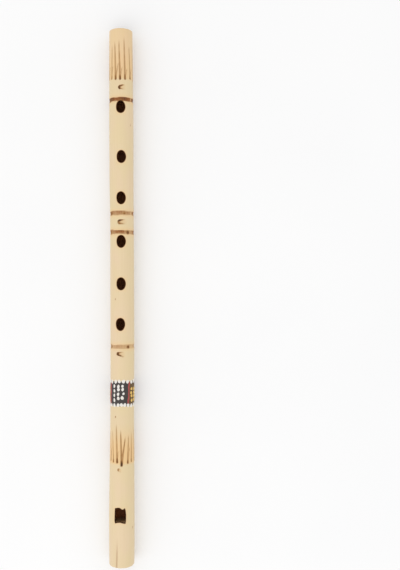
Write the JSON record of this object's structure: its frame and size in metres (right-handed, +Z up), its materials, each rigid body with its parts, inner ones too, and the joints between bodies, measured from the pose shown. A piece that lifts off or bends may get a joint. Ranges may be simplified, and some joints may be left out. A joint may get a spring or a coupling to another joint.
{
  "type": "duct flute",
  "caption": "Straight bamboo whistle flute with oval finger holes, a window and block at the mouth end, burnt carved rings and strokes, and a dotted painted band.",
  "frame": {"origin": "on the surface that the flute lies on, under the middle of the tube", "axes": "+Y along the tube from the mouth end to the open far end, +Z up through the finger holes, +X to the right of someone looking down on it with the far end away from them"},
  "size_m": [0.019, 0.4, 0.019],
  "materials": {
    "bamboo": "satin",
    "block_wood": "matte",
    "black_paint": "matte",
    "ochre_paint": "matte",
    "red_paint": "matte",
    "white_paint": "matte",
    "yellow_paint": "matte"
  },
  "bodies": {
    "root": {"bamboo_tube": "bamboo", "fipple_block": "block_wood", "black_panels": "black_paint", "ochre_panels": "ochre_paint", "red_lines": "red_paint", "white_dots": "white_paint", "ochre_dots": "yellow_paint"}
  },
  "joints": []
}
